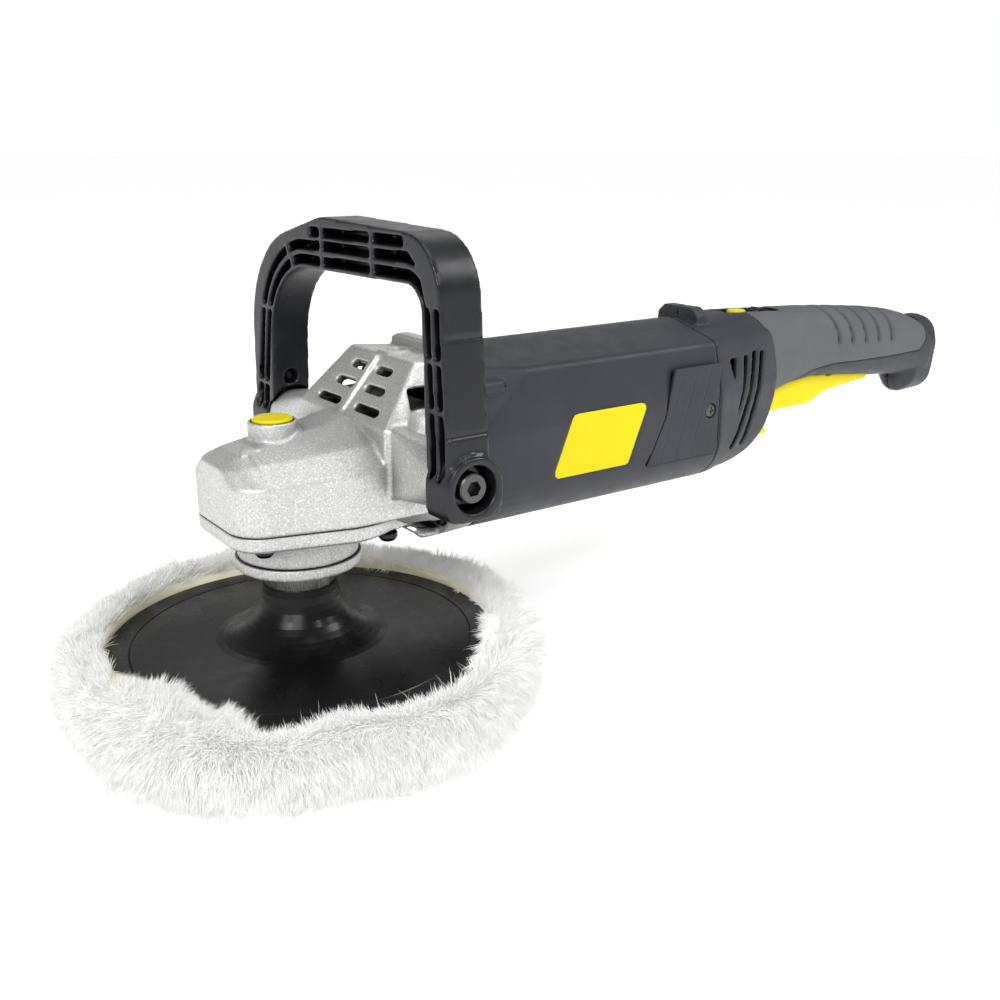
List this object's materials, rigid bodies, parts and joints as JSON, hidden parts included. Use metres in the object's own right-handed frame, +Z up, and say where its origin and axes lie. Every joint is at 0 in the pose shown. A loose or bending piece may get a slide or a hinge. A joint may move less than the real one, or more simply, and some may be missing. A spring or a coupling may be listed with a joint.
{
  "type": "rotary polisher",
  "caption": "Corded rotary polisher with a wool bonnet on a flexible pad, D-shaped front handle, spindle lock and an inline rear handle with trigger, lock-on button and speed dial.",
  "frame": {"origin": "on the spindle axis, at the working face of the wool bonnet", "axes": "+Z up along the spindle, +X from the gear head back to the trigger handle, near side -Y"},
  "size_m": [0.5769, 0.2298, 0.222],
  "materials": {
    "wool": "long white wool pile",
    "bonnet_cloth": "woven cloth backing",
    "hook_yellow": "yellow hook and loop",
    "foam_yellow": "yellow flexible foam",
    "pad_black": "black satin pad",
    "steel": "machined steel",
    "gear_steel": "ground gear steel",
    "cast_silver": "sandy die-cast aluminium",
    "screw_black": "black oxide steel",
    "screw_steel": "plated steel",
    "button_yellow": "satin yellow",
    "badge_yellow": "plain yellow badge",
    "body_charcoal": "fine textured charcoal",
    "handle_black": "semi-gloss near-black",
    "grip_grey": "soft mid-grey overmould",
    "felt": "felt",
    "copper": "enamelled copper",
    "laminations": "stacked steel laminations",
    "brass": "brass",
    "carbon": "carbon",
    "inner_plastic": "dark plastic",
    "board_green": "printed board"
  },
  "bodies": {
    "body": {"gear_housing": "cast_silver", "gear_cover": "cast_silver", "bearing_ring": "cast_silver", "felt_seal": "felt", "spindle_bearing": "steel", "spindle_top_bush": "brass", "cover_screws": "screw_black", "housing_screws": "screw_black", "layshaft_bearings": "steel", "armature_bearings": "steel", "motor_housing": "body_charcoal", "stator_core": "laminations", "field_coils": "copper", "baffle_ring": "inner_plastic", "brush_holders": "brass", "carbon_brushes": "carbon", "brush_springs": "steel", "brush_covers": "body_charcoal", "brush_cover_screws": "screw_steel", "side_badges": "badge_yellow", "handle_shell_left": "body_charcoal", "handle_shell_right": "body_charcoal", "grip_left": "grip_grey", "grip_right": "grip_grey", "handle_screws": "screw_steel", "trigger_pin": "steel", "switch_module": "inner_plastic", "speed_board": "board_green", "cable_bush": "inner_plastic", "handle_bolts": "screw_steel", "handle_washers": "screw_steel"},
    "spindle": {"spindle": "steel", "spindle_gear": "gear_steel", "pad_insert": "steel", "backing_pad": "pad_black", "foam_layer": "foam_yellow", "hook_disc": "hook_yellow", "bonnet_backing": "bonnet_cloth", "wool_pile": "wool"},
    "layshaft": {"layshaft": "steel", "layshaft_pinion": "gear_steel", "bevel_wheel": "gear_steel"},
    "armature": {"armature_shaft": "steel", "armature_core": "laminations", "armature_windings": "copper", "commutator": "copper", "fan": "inner_plastic", "bevel_pinion": "gear_steel"},
    "spindle_lock": {"lock_button": "button_yellow", "lock_pin": "steel", "lock_spring": "steel"},
    "d_handle": {"d_handle": "handle_black"},
    "trigger": {"trigger": "button_yellow", "trigger_spring": "steel"},
    "trigger_lock": {"trigger_lock": "button_yellow"},
    "lock_on": {"lock_on_button": "button_yellow"},
    "dial": {"speed_dial": "inner_plastic"}
  },
  "joints": [
    {"name": "spindle_spin", "type": "hinge", "parent": "body", "child": "spindle", "pos_m": [0, 0, 0.09], "axis": [0, 0, 1], "continuous": true},
    {"name": "layshaft_spin", "type": "hinge", "parent": "body", "child": "layshaft", "pos_m": [0.0375, 0, 0.1], "axis": [0, 0, 1], "continuous": true},
    {"name": "armature_spin", "type": "hinge", "parent": "body", "child": "armature", "pos_m": [0.13, 0, 0.1185], "axis": [1, 0, 0], "continuous": true},
    {"name": "spindle_lock_press", "type": "slide", "parent": "body", "child": "spindle_lock", "axis": [0, 0, -1], "range_m": [0, 0.0042], "stiffness_N_per_m": 600, "springref_m": -0.002, "deforming": ["lock_spring"]},
    {"name": "trigger_squeeze", "type": "hinge", "parent": "body", "child": "trigger", "pos_m": [0.392, 0, 0.1185], "axis": [0, 1, 0], "range_deg": [0, 4.5], "stiffness_Nm_per_rad": 4, "springref_deg": -8.59, "deforming": ["trigger_spring"]},
    {"name": "trigger_lock_tilt", "type": "hinge", "parent": "trigger", "child": "trigger_lock", "pos_m": [0.303, 0, 0.1015], "axis": [0, 1, 0], "range_deg": [-14, 0], "stiffness_Nm_per_rad": 0.05, "springref_deg": 28.65},
    {"name": "lock_on_press", "type": "slide", "parent": "body", "child": "lock_on", "axis": [0, 0, -1], "range_m": [0, 0.0025], "stiffness_N_per_m": 400, "springref_m": -0.002},
    {"name": "speed_dial_turn", "type": "hinge", "parent": "body", "child": "dial", "pos_m": [0.299, 0, 0.1534], "axis": [0, 1, 0], "range_deg": [-135, 135]},
    {"name": "front_handle_tilt", "type": "hinge", "parent": "body", "child": "d_handle", "pos_m": [0.0355, 0, 0.12], "axis": [0, 1, 0], "range_deg": [-20, 25]}
  ],
  "couplings": [
    {"joint": "layshaft_spin", "follows": "spindle_spin", "ratio": -3.1667},
    {"joint": "armature_spin", "follows": "spindle_spin", "ratio": -9.5}
  ]
}
